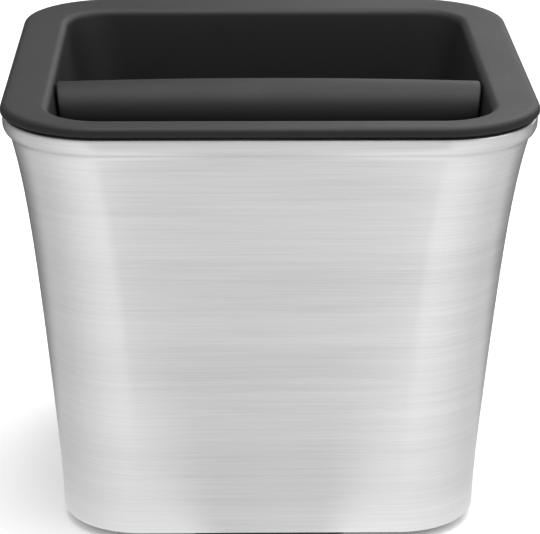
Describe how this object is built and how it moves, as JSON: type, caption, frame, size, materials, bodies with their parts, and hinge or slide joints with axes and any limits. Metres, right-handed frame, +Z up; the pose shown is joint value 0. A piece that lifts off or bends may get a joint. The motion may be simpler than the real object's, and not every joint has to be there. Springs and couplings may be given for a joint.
{
  "type": "espresso knock box",
  "caption": "Square flared brushed-steel box with a removable black bin and a rubber-covered knock bar across its mouth.",
  "frame": {"origin": "middle of the footprint, on the surface that the feet stand on", "axes": "+Z up, the front faces -Y (the bar lies nearer the front), +X to the right seen from the front"},
  "size_m": [0.17, 0.17, 0.1457],
  "materials": {
    "shell_steel": "horizontally brushed stainless steel",
    "base_plastic": "fine moulded texture",
    "foot_rubber": "matte rubber",
    "bin_plastic": "satin moulded plastic",
    "bar_rubber": "soft matte rubber",
    "core_steel": "drawn steel tube",
    "plug_plastic": "moulded plastic"
  },
  "bodies": {
    "shell": {"outer_shell": "shell_steel", "base_plate": "base_plastic", "foot_front": "foot_rubber", "foot_right": "foot_rubber", "foot_rear": "foot_rubber", "foot_left": "foot_rubber"},
    "bin": {"inner_bin": "bin_plastic"},
    "bar": {"bar_sleeve": "bar_rubber", "bar_core": "core_steel", "bar_plug_left": "plug_plastic", "bar_plug_right": "plug_plastic"}
  },
  "joints": [
    {"name": "bin_lift", "type": "slide", "parent": "shell", "child": "bin", "axis": [0, 0, 1], "range_m": [0, 0.14]},
    {"name": "bar_lift", "type": "slide", "parent": "bin", "child": "bar", "axis": [0, 0, 1], "range_m": [0, 0.05]}
  ]
}
